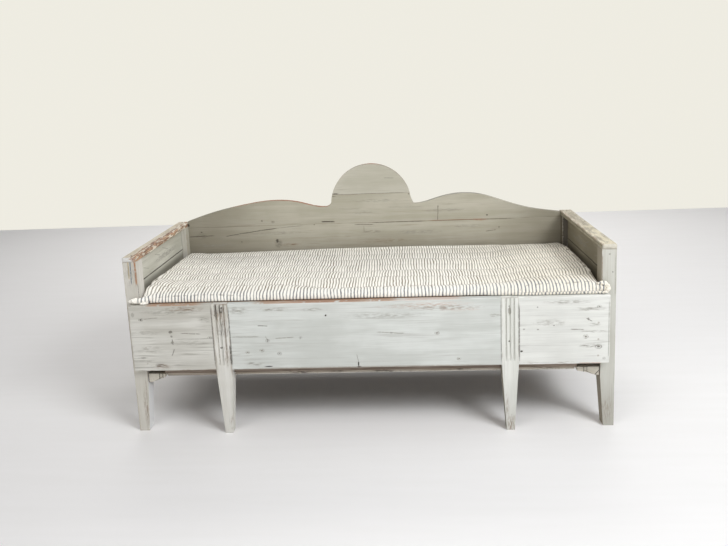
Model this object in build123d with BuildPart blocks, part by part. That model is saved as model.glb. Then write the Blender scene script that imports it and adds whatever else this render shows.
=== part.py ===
from build123d import *
from math import sqrt
import os

# A Swedish pull-out bench bed. Millimetres, +Z up, the front faces -Y, the length runs along X.
# The origin is on the floor, in the middle of the bench's outline.

# Overall sizes
length = 1740             # over the end frames
frame_depth = 602         # front of the front posts to back of the rear posts
arm_height = 670          # top of the arm caps
crest_height = 904        # top of the dome on the backrest
seat_height = 495         # top of the seat boards and of the drawer front
box_bottom = 248          # lower edge of the drawer front

# Clearances
running_gap = 0.3         # between a sliding piece and what it slides on or stops against
side_gap = 5              # drawer side to post
lid_gap = 3               # seat boards to posts and backrest
board_gap = 2             # between loose boards that lie side by side
clear = 3                 # between pieces that pass each other

# Corner posts, square above the taper
post_width = 50
front_post_depth = 52
rear_post_depth = 55
foot_width = 37
foot_depth = 40
leg_taper_top = 188

# Arm caps
cap_thickness = 18
cap_overhang = 4          # in front of the post
cap_rounding = 4

# End boards and side rails between the posts
panel_thickness = 20
panel_inset = 23          # inner face of the boards outside the posts' inner faces
panel_tongue = 8
arm_joint = 556           # joint between the arm panel and the end board
rail_joint = 400          # joint between the end board and the side rail
side_rail_bottom = 235
side_rail_thickness = 30
side_rail_inset = 15
tenon_thickness = 12
tenon_length = 32
tenon_shoulder = 15

# Backrest and box back, housed in grooves in the rear posts
back_thickness = 22
back_inset = 3            # back of the boards in front of the posts' back faces
back_tongue = 10
crest_joint = 772         # lower edge of the dome's own board
back_joint = 645          # joint between the upper and the lower backrest board
box_back_lap = 5          # top of the box back above the ledge that the seat boards lie on
rear_rail_top = 330
dome_radius = 175
dome_shift = 4            # centre of the dome to the right of the middle
cove_radius = 28          # hollow at the dome's left foot
dome_flare = 11           # how far the dome's right foot spreads
left_wing_top = 756
right_wing_top = 762
# Top edge of each wing: share of the way from the post to the dome, drop below the wing's top
left_wing = ((0, 82), (0.22, 40), (0.39, 18), (0.535, 4), (0.675, 0), (0.82, 12), (1, 35))
right_wing = ((0, 96), (0.225, 72), (0.41, 34), (0.56, 5), (0.63, 0), (0.75, 4), (0.86, 21), (1, 39))
dowel_radius = 5
dowel_length = 50
dowel_spacing = 110

# Seat boards and what carries them
seat_board_thickness = 20
lid_batten_width = 45
lid_batten_thickness = 22
lid_batten_end = 100      # from a post to the middle of the nearest batten
lid_batten_count = 4
cleat_width = 46
cleat_height = 28
ledge_depth = 24
front_rail_thickness = 23
front_rail_height = 45
front_tenon_length = 20
front_tenon_shoulder = 8

# Runners under the drawer
runner_width = 45
runner_height = 34
runner_setback = 4        # front end behind the front of the posts
nose_length = 40          # the front end is hewn away on its inner lower corner
nose_flat = 12
nose_cut = 12
strip_width_left = 19
strip_width_right = 34
strip_drop = 1            # top of the strip below the top of the runner
strip_cut = 6             # slope of the strip's underside

# Fixed bottom
slat_width = 92
slat_thickness = 16
slat_count = 11
slat_end = 104            # from a post to the nearest slat
slat_setback = 130        # front ends of the slats behind the front of the posts
bearer_height = 26
bearer_depth = 35

# Drawer front
front_thickness = 23
front_end_left = 15       # left end of the drawer front inside the left post's outer face
front_end_right = 26
front_rounding = 3
front_corner = 8
pilaster_end_left = 332   # from the end of the drawer front to the middle of the pilaster
pilaster_end_right = 341.5
pilaster_width = 59
pilaster_depth = 48
pilaster_foot_width = 28
pilaster_foot_depth = 31
flute_count = 3
flute_width = 6
flute_depth = 3
flute_spacing = 14
flute_stop = 16           # above the lower edge of the drawer front
tongue_thickness = 8
tongue_length = 8
tongue_stop = 12

# Drawer box
drawer_side_thickness = 20
skid_height = 16
skid_setback = 45
drawer_back_gap = 37      # rear end of the drawer in front of the box back
bottom_thickness = 18
bottom_board_count = 11
bottom_lift = 2           # underside of the bottom boards above the runners
cross_rail_depth = 25
cross_rail_height = 21
ledger_height = 49
rear_batten_depth = 35
corner_block = 30
stop_length = 25
stop_width = 17
stop_height = 80
stop_lift = 60            # lower end of the stop above the lower edge of the drawer side

# Fasteners
peg_radius = 5
peg_length = 42
peg_spacing = 90
nail_radius = 1.6
nail_length = 38
nail_head_radius = 3.5
nail_head = 1.5
nail_end = 26             # from the end of a cap to its nail
side_nail_spacing = 60
seat_nail_spacing = 160

# Mattress
mattress_thickness = 40
mattress_gap = 4          # to the posts and the backrest
mattress_front = 20       # its front edge in front of the posts
mattress_rounding = 6
ear_gap = 1               # the front corners pass the arm caps this far in front of them
ear_end = 6               # ends of the front corners inside the ends of the drawer front

# Planes and levels worked out from the sizes above
y_front = -(frame_depth + front_thickness + running_gap) / 2
y_back = -y_front
y_front_back = y_front + front_thickness
y_post = y_front_back + running_gap
y_post_rear = y_post + front_post_depth
y_rear_post = y_back - rear_post_depth
y_board_back = y_back - back_inset
y_board = y_board_back - back_thickness
y_pilaster = y_front + pilaster_depth
y_seat_rail = y_pilaster + clear
y_seat_rail_back = y_seat_rail + front_rail_thickness
y_ledge = y_board - ledge_depth
y_drawer_back = y_board - drawer_back_gap
x_out = length / 2
x_post = x_out - post_width
x_panel = x_post + panel_inset
x_rail = x_post + side_rail_inset
x_side = x_post - side_gap
x_box = x_side - drawer_side_thickness
x_runner = x_post - runner_width
x_rail_left = -(x_runner - strip_width_left - clear)
x_rail_right = x_runner - strip_width_right - clear
x_front_left = -x_out + front_end_left
x_front_right = x_out - front_end_right
pilaster_left = x_front_left + pilaster_end_left
pilaster_right = x_front_right - pilaster_end_right
slat_pitch = (2 * (x_post - slat_end) - slat_width) / (slat_count - 1)
lid_batten_spacing = 2 * (x_post - lid_batten_end) / (lid_batten_count - 1)
cap_underside = arm_height - cap_thickness
seat_underside = seat_height - seat_board_thickness
front_rail_bottom = seat_underside - front_rail_height
box_back_joint = seat_underside + box_back_lap
drawer_side_top = front_rail_bottom - side_gap
runner_bottom = leg_taper_top + board_gap
runner_top = runner_bottom + runner_height
slat_top = runner_bottom + slat_thickness
bearer_bottom = runner_bottom - bearer_height
bottom_underside = runner_top + bottom_lift
bottom_top = bottom_underside + bottom_thickness
skid_bottom = runner_top + running_gap
skid_top = skid_bottom + skid_height
cross_rail_bottom = bottom_underside - cross_rail_height
dome_z = crest_height - dome_radius

sides = {"left": -1, "right": 1}
pieces = {}               # every finished piece by its name


def block(x, y, z):
    """A box between two x, two y and two z values."""
    with Locations(tuple((low + high) / 2 for low, high in (x, y, z))):
        Box(*(abs(high - low) for low, high in (x, y, z)))


def rectangle(x, y):
    """A rectangle between two x and two y values of the sketch."""
    with Locations(((x[0] + x[1]) / 2, (y[0] + y[1]) / 2)):
        Rectangle(abs(x[1] - x[0]), abs(y[1] - y[0]))


def rod(start, along, radius, rod_length):
    """A round rod from a point along a direction."""
    with Locations(Plane(origin=start, z_dir=along).location):
        Cylinder(radius, rod_length, align=(Align.CENTER, Align.CENTER, Align.MIN))


def nail(head, along):
    """A nail with a flat head flush at a point, its shank along a direction."""
    rod(head, along, nail_head_radius, nail_head)
    rod(head, along, nail_radius, nail_length)


def cut_for(*names):
    """Cuts the piece being built where the named pieces sit in it."""
    for name in names:
        add(pieces[name].part, mode=Mode.SUBTRACT)


# Fasteners of the fixed frame come first, because the pieces are bored for them.
with BuildPart() as pieces["frame_pegs"]:
    rail_middle_z = (side_rail_bottom + rail_joint) / 2
    for side in sides.values():
        for y in (y_post_rear - tenon_length / 2, y_rear_post + tenon_length / 2):
            for z in (rail_middle_z - peg_spacing / 2, rail_middle_z + peg_spacing / 2):
                rod((side * x_out, y, z), (-side, 0, 0), peg_radius, peg_length)
        x_peg = side * (x_post + front_tenon_length / 2)
        z_peg = (front_rail_bottom + seat_underside) / 2
        rod((x_peg, y_post, z_peg), (0, 1, 0), peg_radius, peg_length)

with BuildPart() as pieces["cap_nails"]:
    for side in sides.values():
        for y in (y_post + nail_end, y_back - nail_end):
            nail((side * (x_out + x_post) / 2, y, arm_height), (0, 0, -1))

with BuildPart() as pieces["crest_dowels"]:
    for x in (-dowel_spacing, 0, dowel_spacing):
        foot = (dome_shift + x, (y_board + y_board_back) / 2, crest_joint - dowel_length / 2)
        rod(foot, (0, 0, 1), dowel_radius, dowel_length)

# End frames
for name, side in sides.items():
    board_x = (side * x_panel, side * (x_panel + panel_thickness))
    board_y = (y_post_rear - panel_tongue, y_rear_post + panel_tongue)
    with BuildPart() as pieces[f"arm_panel_{name}"]:
        block(board_x, board_y, (arm_joint, cap_underside))
    with BuildPart() as pieces[f"end_board_{name}"]:
        block(board_x, board_y, (rail_joint, arm_joint))

    rail_x = (side * x_rail, side * (x_rail + side_rail_thickness))
    rail_middle = sum(rail_x) / 2
    with BuildPart() as pieces[f"side_rail_{name}"]:
        block(rail_x, (y_post_rear, y_rear_post), (side_rail_bottom, rail_joint))
        block(
            (rail_middle - tenon_thickness / 2, rail_middle + tenon_thickness / 2),
            (y_post_rear - tenon_length, y_rear_post + tenon_length),
            (side_rail_bottom + tenon_shoulder, rail_joint - tenon_shoulder),
        )
        cut_for("frame_pegs")

    with BuildPart() as pieces[f"arm_cap_{name}"]:
        block((side * x_post, side * x_out), (y_post - cap_overhang, y_back), (cap_underside, arm_height))
        fillet(pieces[f"arm_cap_{name}"].edges().group_by(Axis.Z)[-1], cap_rounding)
        cut_for("cap_nails")

# The rail that ties the front posts and carries the front edge of the seat boards
with BuildPart() as pieces["seat_front_rail"]:
    rail_y = (y_seat_rail + y_seat_rail_back) / 2
    block((-x_post, x_post), (y_seat_rail, y_seat_rail_back), (front_rail_bottom, seat_underside))
    block(
        (-x_post - front_tenon_length, x_post + front_tenon_length),
        (rail_y - tenon_thickness / 2, rail_y + tenon_thickness / 2),
        (front_rail_bottom + front_tenon_shoulder, seat_underside - front_tenon_shoulder),
    )
    cut_for("frame_pegs")


# Backrest: its upper board has a wing on each side of the dome
def dome_x(z):
    """Half the dome's width at a height."""
    return sqrt(dome_radius**2 - (z - dome_z) ** 2)


def wing_points(wing, top, x_start, x_end):
    """Points along a wing's top edge, from the post to the dome."""
    return [(x_start + share * (x_end - x_start), top - drop) for share, drop in wing]


cove_z = left_wing_top - left_wing[-1][1] + cove_radius
cove_x = dome_shift - dome_x(cove_z) - cove_radius
left_points = wing_points(left_wing, left_wing_top, -x_post, cove_x)
right_points = wing_points(right_wing, right_wing_top, x_post, dome_shift + dome_radius + dome_flare)
joint_left = (dome_shift - dome_x(crest_joint), crest_joint)
joint_right = (dome_shift + dome_x(crest_joint), crest_joint)
left_flank_z = (crest_joint + cove_z) / 2
right_flank_z = (crest_joint + right_points[-1][1]) / 2
back_plane = Plane.XZ.offset(-y_board_back)
with BuildPart() as pieces["back_board_upper"]:
    with BuildSketch(back_plane):
        with BuildLine():
            Spline(*left_points, tangents=((1, 0.35), (1, 0)))
            CenterArc((cove_x, cove_z), cove_radius, -90, 90)
            ThreePointArc(
                (cove_x + cove_radius, cove_z),
                (dome_shift - dome_x(left_flank_z), left_flank_z),
                joint_left,
            )
            Line(joint_left, joint_right)
            ThreePointArc(joint_right, (dome_shift + dome_radius, right_flank_z), right_points[-1])
            Spline(*reversed(right_points), tangents=((1, 0), (1, -0.15)))
            Polyline(
                right_points[0],
                (x_post, cap_underside),
                (x_post + back_tongue, cap_underside),
                (x_post + back_tongue, back_joint),
                (-x_post - back_tongue, back_joint),
                (-x_post - back_tongue, cap_underside),
                (-x_post, cap_underside),
                left_points[0],
            )
        make_face()
    extrude(amount=back_thickness)
    cut_for("crest_dowels")

with BuildPart() as pieces["back_crest"]:
    with BuildSketch(back_plane):
        with BuildLine():
            ThreePointArc(joint_left, (dome_shift, crest_height), joint_right)
            Line(joint_right, joint_left)
        make_face()
    extrude(amount=back_thickness)
    cut_for("crest_dowels")

back_x = (-x_post - back_tongue, x_post + back_tongue)
with BuildPart() as pieces["back_board_lower"]:
    block(back_x, (y_board, y_board_back), (box_back_joint, back_joint))
with BuildPart() as pieces["box_back_board"]:
    block(back_x, (y_board, y_board_back), (rear_rail_top, box_back_joint))
with BuildPart() as pieces["rear_rail"]:
    block(back_x, (y_board, y_board_back), (bearer_bottom, rear_rail_top))


# Posts, cut for what is housed in them
def corner_post(side, y_outer, y_inner, housed):
    """A square post whose two inner faces taper to the foot."""
    inward = 1 if y_inner > y_outer else -1
    with BuildPart() as post:
        with BuildSketch():
            rectangle((side * x_out, side * (x_out - foot_width)), (y_outer, y_outer + inward * foot_depth))
        with BuildSketch(Plane.XY.offset(leg_taper_top)):
            rectangle((side * x_out, side * x_post), (y_outer, y_inner))
        loft()
        block((side * x_out, side * x_post), (y_outer, y_inner), (leg_taper_top, cap_underside))
        cut_for(*housed, "frame_pegs", "cap_nails")
    return post


for name, side in sides.items():
    end_pieces = [f"{piece}_{name}" for piece in ("arm_panel", "end_board", "side_rail")]
    back_pieces = ["back_board_upper", "back_board_lower", "box_back_board", "rear_rail"]
    pieces[f"front_post_{name}"] = corner_post(side, y_post, y_post_rear, end_pieces + ["seat_front_rail"])
    pieces[f"rear_post_{name}"] = corner_post(side, y_back, y_rear_post, end_pieces + back_pieces)

# What the seat boards lie on
for name, side in sides.items():
    with BuildPart() as pieces[f"lid_cleat_{name}"]:
        cleat_x = (side * x_panel, side * (x_panel - cleat_width))
        block(cleat_x, (y_post_rear, y_rear_post), (seat_underside - cleat_height, seat_underside))
with BuildPart() as pieces["lid_ledge_rear"]:
    block((-x_post, x_post), (y_ledge, y_board), (seat_underside - cleat_height, seat_underside))

# Runners, each with a narrow strip along its inner side that guides the drawer's cross rail
y_nose = y_post + runner_setback
for name, side in sides.items():
    with BuildPart() as pieces[f"runner_{name}"]:
        block((side * x_post, side * x_runner), (y_nose + nose_length, y_board), (runner_bottom, runner_top))
        with BuildSketch(Plane.XZ.offset(-y_nose)):
            Polygon(
                (side * x_post, runner_bottom),
                (side * (x_post - nose_flat), runner_bottom),
                (side * x_runner, runner_bottom + nose_cut),
                (side * x_runner, runner_top),
                (side * x_post, runner_top),
                align=None,
            )
        extrude(amount=-nose_length)
    with BuildPart() as pieces[f"runner_strip_{name}"]:
        x_tip = x_runner - (strip_width_left if side < 0 else strip_width_right)
        with BuildSketch(Plane.XZ.offset(-y_nose)):
            Polygon(
                (side * x_runner, runner_bottom + nose_cut),
                (side * x_tip, runner_bottom + nose_cut + strip_cut),
                (side * x_tip, runner_top - strip_drop),
                (side * x_runner, runner_top - strip_drop),
                align=None,
            )
        extrude(amount=y_nose - y_board)

# Fixed bottom behind the drawer
y_bearer = y_post + slat_setback
with BuildPart() as pieces["slat_bearer"]:
    block((-x_post, x_post), (y_bearer, y_bearer + bearer_depth), (bearer_bottom, runner_bottom))
with BuildPart() as pieces["slat_ledge"]:
    block((-x_post, x_post), (y_ledge, y_board), (bearer_bottom, runner_bottom))
with BuildPart() as pieces["bed_slats"]:
    with Locations((0, (y_bearer + y_board) / 2, (runner_bottom + slat_top) / 2)):
        with GridLocations(slat_pitch, 1, slat_count, 1):
            Box(slat_width, y_board - y_bearer, slat_thickness)

# Drawer front: three boards beside two fluted pilasters that run down as the middle legs
x_left = (pilaster_left - pilaster_width / 2, pilaster_left + pilaster_width / 2)
x_right = (pilaster_right - pilaster_width / 2, pilaster_right + pilaster_width / 2)
front_middle = (y_front + y_front_back) / 2
tongue_y = (front_middle - tongue_thickness / 2, front_middle + tongue_thickness / 2)
tongue_z = (box_bottom + tongue_stop, seat_height - tongue_stop)

with BuildPart() as pieces["drawer_nails"]:
    for side in sides.values():
        for step in (-1, 0, 1):
            z = (box_bottom + drawer_side_top) / 2 + step * side_nail_spacing
            nail((side * (x_box + x_side) / 2, y_front, z), (0, 1, 0))


def front_board(x, tongues):
    """A board of the drawer front; an end without a tongue has its lower corner rounded."""
    with BuildPart() as board:
        block(x, (y_front, y_front_back), (box_bottom, seat_height))
        lower_corners = board.edges().filter_by(Axis.Y).group_by(Axis.Z)[0].sort_by(Axis.X)
        for corner, has_tongue in zip(lower_corners, tongues):
            if not has_tongue:
                fillet(corner, front_corner)
        fillet(board.faces().sort_by(Axis.Y)[0].edges().sort_by(Axis.Z)[-1], front_rounding)
        for end, outward, has_tongue in zip(x, (-1, 1), tongues):
            if has_tongue:
                block((end, end + outward * tongue_length), tongue_y, tongue_z)
        cut_for("drawer_nails")
    return board


pieces["drawer_front_left"] = front_board((x_front_left, x_left[0]), tongues=(False, True))
pieces["drawer_front_centre"] = front_board((x_left[1], x_right[0]), tongues=(True, True))
pieces["drawer_front_right"] = front_board((x_right[1], x_front_right), tongues=(True, False))


def pilaster_leg(x_middle):
    """A fluted upright, tapered below the drawer front on both sides and at the back."""
    half, half_foot = pilaster_width / 2, pilaster_foot_width / 2
    face = Plane.XZ.offset(-y_front)
    with BuildPart() as leg:
        with BuildSketch(face):
            Polygon(
                (x_middle - half_foot, 0),
                (x_middle + half_foot, 0),
                (x_middle + half, box_bottom),
                (x_middle + half, seat_height),
                (x_middle - half, seat_height),
                (x_middle - half, box_bottom),
                align=None,
            )
        extrude(amount=-pilaster_depth)
        with BuildSketch(Plane.YZ.offset(x_middle)):
            back_taper = ((y_pilaster, cross_rail_bottom), (y_pilaster, 0), (y_front + pilaster_foot_depth, 0))
            Polygon(*back_taper, align=None)
            rectangle((y_front_back, y_pilaster), (seat_underside - side_gap, seat_height))
        extrude(amount=half, both=True, mode=Mode.SUBTRACT)
        flute_bottom = box_bottom + flute_stop
        flute_length = seat_height + flute_width - flute_bottom
        with BuildSketch(face):
            with Locations((x_middle, flute_bottom + flute_length / 2)):
                with GridLocations(flute_spacing, 1, flute_count, 1):
                    SlotOverall(flute_length, flute_width, rotation=90)
        extrude(amount=-flute_depth, mode=Mode.SUBTRACT)
        cut_for("drawer_front_left", "drawer_front_centre", "drawer_front_right")
    return leg


pieces["pilaster_leg_left"] = pilaster_leg(pilaster_left)
pieces["pilaster_leg_right"] = pilaster_leg(pilaster_right)

# Drawer box
with BuildPart() as pieces["drawer_cross_rail"]:
    cross_rail_y = (y_pilaster, y_pilaster + cross_rail_depth)
    block((x_rail_left, x_rail_right), cross_rail_y, (cross_rail_bottom, bottom_underside))
with BuildPart() as pieces["drawer_ledger"]:
    for x in ((x_rail_left, x_left[0]), (x_left[1], x_right[0]), (x_right[1], x_rail_right)):
        block(x, (y_front_back, y_pilaster), (bottom_underside, bottom_underside + ledger_height))
with BuildPart() as pieces["drawer_bottom_boards"]:
    board_pitch = (2 * x_box + board_gap) / bottom_board_count
    with Locations((0, (y_pilaster + y_drawer_back) / 2, (bottom_underside + bottom_top) / 2)):
        with GridLocations(board_pitch, 1, bottom_board_count, 1):
            Box(board_pitch - board_gap, y_drawer_back - y_pilaster, bottom_thickness)
with BuildPart() as pieces["drawer_rear_batten"]:
    batten_y = (y_drawer_back - rear_batten_depth, y_drawer_back)
    block((x_rail_left, x_rail_right), batten_y, (slat_top + running_gap, bottom_underside))

for name, side in sides.items():
    side_x = (side * x_box, side * x_side)
    with BuildPart() as pieces[f"drawer_side_{name}"]:
        block(side_x, (y_front_back, y_drawer_back), (skid_top, drawer_side_top))
        cut_for("drawer_nails")
    with BuildPart() as pieces[f"drawer_skid_{name}"]:
        block(side_x, (y_front_back + skid_setback, y_drawer_back), (skid_bottom, skid_top))
    with BuildPart() as pieces[f"drawer_corner_block_{name}"]:
        corner_x = (side * x_box, side * (x_box - corner_block))
        block(corner_x, (y_front_back, y_front_back + corner_block), (box_bottom, drawer_side_top))
    with BuildPart() as pieces[f"drawer_stop_{name}"]:
        stop_x = (side * x_side, side * (x_side + stop_width))
        stop_z = (skid_top + stop_lift, skid_top + stop_lift + stop_height)
        block(stop_x, (y_drawer_back - stop_length, y_drawer_back), stop_z)

# Seat boards, lifted off together with their battens
x_seat = x_post - lid_gap
y_seat = (y_post + lid_gap, y_board - lid_gap)
y_seat_joint = sum(y_seat) / 2
batten_y = (y_seat_rail_back + clear, y_ledge - clear)
batten_z = (seat_underside - lid_batten_thickness, seat_underside)
with BuildPart() as pieces["seat_nails"]:
    with Locations((0, y_seat_joint, seat_height - nail_head / 2)):
        with GridLocations(lid_batten_spacing, seat_nail_spacing, lid_batten_count, 2):
            Cylinder(nail_head_radius, nail_head)
    with Locations((0, y_seat_joint, seat_height - nail_length / 2)):
        with GridLocations(lid_batten_spacing, seat_nail_spacing, lid_batten_count, 2):
            Cylinder(nail_radius, nail_length)
with BuildPart() as pieces["seat_battens"]:
    with Locations((0, sum(batten_y) / 2, sum(batten_z) / 2)):
        with GridLocations(lid_batten_spacing, 1, lid_batten_count, 1):
            Box(lid_batten_width, batten_y[1] - batten_y[0], lid_batten_thickness)
    cut_for("seat_nails")
with BuildPart() as pieces["seat_board_front"]:
    block((-x_seat, x_seat), (y_seat[0], y_seat_joint - board_gap / 2), (seat_underside, seat_height))
    cut_for("seat_nails")
with BuildPart() as pieces["seat_board_rear"]:
    block((-x_seat, x_seat), (y_seat_joint + board_gap / 2, y_seat[1]), (seat_underside, seat_height))
    cut_for("seat_nails")

# Mattress, spread at its front corners over the top of the drawer front
with BuildPart() as pieces["mattress"]:
    x_mattress = x_post - mattress_gap
    y_mattress = y_post - mattress_front
    y_ear = y_post - cap_overhang - ear_gap
    with BuildSketch(Plane.XY.offset(seat_height + running_gap)):
        rectangle((-x_mattress, x_mattress), (y_mattress, y_board - mattress_gap))
        rectangle((x_front_left + ear_end, x_front_right - ear_end), (y_mattress, y_ear))
    extrude(amount=mattress_thickness)
    fillet(pieces["mattress"].edges().group_by(Axis.Z)[-1], mattress_rounding)

os.makedirs("parts", exist_ok=True)
for name, piece in pieces.items():
    piece.part.label = name
    export_step(piece.part, f"parts/{name}.step")
travel = y_drawer_back - stop_length - y_post_rear - running_gap
print(len(pieces), "pieces; the drawer travels", travel)
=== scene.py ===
import math
from functools import reduce

import bmesh
import bpy
from mathutils import Matrix, Vector, noise


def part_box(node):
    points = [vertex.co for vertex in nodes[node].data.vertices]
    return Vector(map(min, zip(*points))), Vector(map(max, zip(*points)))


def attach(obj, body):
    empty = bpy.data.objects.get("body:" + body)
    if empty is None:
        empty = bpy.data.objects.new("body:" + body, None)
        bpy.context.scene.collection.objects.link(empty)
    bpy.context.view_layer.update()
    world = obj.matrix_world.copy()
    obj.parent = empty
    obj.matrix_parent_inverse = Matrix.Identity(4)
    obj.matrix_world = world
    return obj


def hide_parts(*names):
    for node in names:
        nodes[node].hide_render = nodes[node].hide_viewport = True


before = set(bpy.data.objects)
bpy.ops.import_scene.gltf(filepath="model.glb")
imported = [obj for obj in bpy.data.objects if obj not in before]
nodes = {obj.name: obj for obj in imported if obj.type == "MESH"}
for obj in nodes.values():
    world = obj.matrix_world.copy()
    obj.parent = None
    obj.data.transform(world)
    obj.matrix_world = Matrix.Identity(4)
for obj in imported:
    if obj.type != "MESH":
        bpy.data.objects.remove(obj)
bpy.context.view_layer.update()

mm = 0.001


def tone(*display):
    # a colour given in display values, as the shader wants it; none here is near black
    return (*(((value / 255 + 0.055) / 1.055) ** 2.4 for value in display), 1.0)


class Wire:
    # one output of a node tree; arithmetic on it adds Math nodes
    def __init__(self, tree, socket):
        self.tree = tree
        self.socket = socket

    def node(self, kind, settings=None, inputs=None, output=0):
        made = self.tree.nodes.new("ShaderNode" + kind)
        for name, value in (settings or {}).items():
            setattr(made, name, value)
        for name, value in (inputs or {}).items():
            if isinstance(value, Wire):
                self.tree.links.new(value.socket, made.inputs[name])
            else:
                made.inputs[name].default_value = value
        return Wire(self.tree, made.outputs[output])

    def math(self, operation, *values):
        return self.node("Math", {"operation": operation}, dict(enumerate(values)))

    def __add__(self, other):
        return self.math("ADD", self, other)

    def __sub__(self, other):
        return self.math("SUBTRACT", self, other)

    def __mul__(self, other):
        return self.math("MULTIPLY", self, other)

    def __truediv__(self, other):
        return self.math("DIVIDE", self, other)

    def __rsub__(self, other):
        return self.math("SUBTRACT", other, self)

    def __rtruediv__(self, other):
        return self.math("DIVIDE", other, self)

    def __abs__(self):
        return self.math("ABSOLUTE", self)

    __radd__ = __add__
    __rmul__ = __mul__

    def least(self, other):
        return self.math("MINIMUM", self, other)

    def most(self, other):
        return self.math("MAXIMUM", self, other)

    def sine(self):
        return self.math("SINE", self)

    def floor(self):
        return self.math("FLOOR", self)

    def fraction(self):
        return self.math("FRACT", self)

    def rise(self, low, high):
        # 0 below low, 1 above high, smooth between; it falls where low is the larger
        return self.node("MapRange", {"interpolation_type": "SMOOTHSTEP"}, {0: self, 1: low, 2: high})

    def vector(self, operation, *values, output=0):
        inputs = dict(enumerate((self, *values)))
        return self.node("VectorMath", {"operation": operation}, inputs, output)

    def noise(self, scales, seed, detail=3.0, roughness=0.55, distortion=0.0):
        # noise with its own number of waves per metre on each axis; each seed starts elsewhere in it
        place = self.vector("MULTIPLY_ADD", scales, (seed * 3.7, seed * 1.9, seed * 5.3))
        inputs = {"Vector": place, "Scale": 1.0, "Detail": detail, "Roughness": roughness,
                  "Distortion": distortion}
        return self.node("TexNoise", None, inputs)

    def chance(self):
        # a random value for each whole number
        return self.node("TexWhiteNoise", {"noise_dimensions": "1D"}, {"W": self})

    def blend(self, first, second):
        # the first colour where this is 0, the second where it is 1
        return self.node("Mix", {"data_type": "RGBA"}, {0: self, 6: first, 7: second}, output=2)

    def axes(self):
        outputs = self.node("SeparateXYZ", None, {0: self}).socket.node.outputs
        return [Wire(self.tree, outputs[axis]) for axis in range(3)]

    def normal(self):
        # x, y and z of the skin's direction, beside the places that this wire brings
        return Wire(self.tree, self.socket.node.outputs["Normal"]).axes()


def newMaterial(name):
    # the material, its shader node, and a wire of places in the part's own frame
    material = bpy.data.materials.new(name)
    material.use_nodes = True
    tree = material.node_tree
    shader = tree.nodes["Principled BSDF"]
    place = Wire(tree, tree.nodes.new("ShaderNodeTexCoord").outputs["Object"])
    return material, shader, place


def connect(shader, colour, roughness, height, bump, gloss=0.35):
    links = shader.id_data.links
    links.new(colour.socket, shader.inputs["Base Color"])
    links.new(roughness.socket, shader.inputs["Roughness"])
    normal = height.node("Bump", None, {"Strength": 1.0, "Distance": bump, "Height": height})
    links.new(normal.socket, shader.inputs["Normal"])
    shader.inputs["Specular IOR Level"].default_value = gloss


def stretched(grain, across, along):
    # waves per metre for grain that runs along one axis
    return tuple(along if axis == grain else across for axis in "xyz")


def arrisDistance(place, low, high):
    # how far a point on a board's skin is from the board's nearest arris
    depths = []
    for axis, a, b in zip(place.axes(), low, high):
        depths.append((b - a) / 2 - abs(axis - (a + b) / 2))
    first, second, third = depths
    return first.least(second).most(first.most(second).least(third))     # the middle one of the three


# knots, cracks, nail spots and streaks, and painted highlights
markColours = {
    "dark": tone(50, 43, 36),
    "soot": tone(74, 66, 56),
    "brown": tone(122, 98, 76),
    "grey": tone(140, 137, 128),
    "rust": tone(154, 104, 74),
    "amber": tone(166, 122, 88),
    "tan": tone(170, 134, 108),
    "ochre": tone(176, 150, 92),
    "blue": tone(74, 96, 116),
    "pink": tone(202, 180, 168),
    # painted highlight on lit fillets and edges
    "paintedHighlight": tone(236, 235, 228),
}


class Marks:
    # masks of marks on the face of a board, in millimetres along and up that face
    def __init__(self, place, face, grain, seed):
        self.face = face
        self.flat = place.vector("MULTIPLY", (1, 0, 1) if face == "xz" else (0, 1, 1))
        self.ragged = place.noise((150, 150, 150), seed + 3, detail=3) - 0.5
        self.bend = place.noise((15, 15, 15), seed + 5, detail=4) - 0.5
        self.fine = place.noise(stretched(grain, 330, 40), seed + 7, detail=3)
        # marks stay on the front of a board, or on the two broad faces of an end board
        normal = place.normal()
        self.facing = normal[1].rise(-0.2, -0.6) if face == "xz" else abs(normal[0]).rise(0.2, 0.6)

    def point(self, along, up):
        return (along * mm, 0, up * mm) if self.face == "xz" else (0, along * mm, up * mm)

    def reach(self, along, up, size, tall):
        # 0 in the middle of an oval, 1 at its rim
        away = self.flat.vector("SUBTRACT", self.point(along, up))
        scale = (1 / (size * mm), 1 / (size * mm), 1 / (tall * mm))
        return away.vector("MULTIPLY", scale).vector("LENGTH", output=1)

    def spot(self, along, up, size, tall=None):
        reach = self.reach(along, up, size, tall or size)
        return (reach + self.ragged * 1.3).rise(1.2, 0.7)

    def knot(self, along, up, size, tall=None):
        # a small eye with a broken ring round it
        reach = self.reach(along, up, size, tall or size * 0.7) + self.ragged * 0.7
        ring = reach.rise(0.55, 0.8) * reach.rise(1.12, 0.9)
        return reach.rise(0.5, 0.3).most(ring * (self.ragged + 0.5).rise(0.35, 0.6) * 0.75)

    def streaks(self, along, up, size, tall):
        reach = self.reach(along, up, size, tall) + self.ragged * 0.6
        return reach.rise(1.1, 0.2) * self.fine.rise(0.42, 0.6)

    def crack(self, start, end, width, wander=7.0):
        # a wandering crack between two points, thin at both ends
        a, b = Vector(self.point(*start)), Vector(self.point(*end))
        slope = (b - a).normalized()
        across = Vector((0, 1, 0) if self.face == "xz" else (1, 0, 0)).cross(slope)
        away = self.flat.vector("SUBTRACT", tuple((a + b) / 2))
        run = away.vector("DOT_PRODUCT", tuple(slope), output=1)
        side = away.vector("DOT_PRODUCT", tuple(across), output=1)
        half = (b - a).length / 2
        body = abs(side + self.bend * wander * mm).rise(width * mm, 0.25 * width * mm)
        broken = (self.ragged + 0.5).rise(0.3, 0.5) * 0.6 + 0.4
        return body * abs(run).rise(half, half * 0.7) * broken

    def line(self, start, end, width):
        return self.crack(start, end, width, 0.5)


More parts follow.
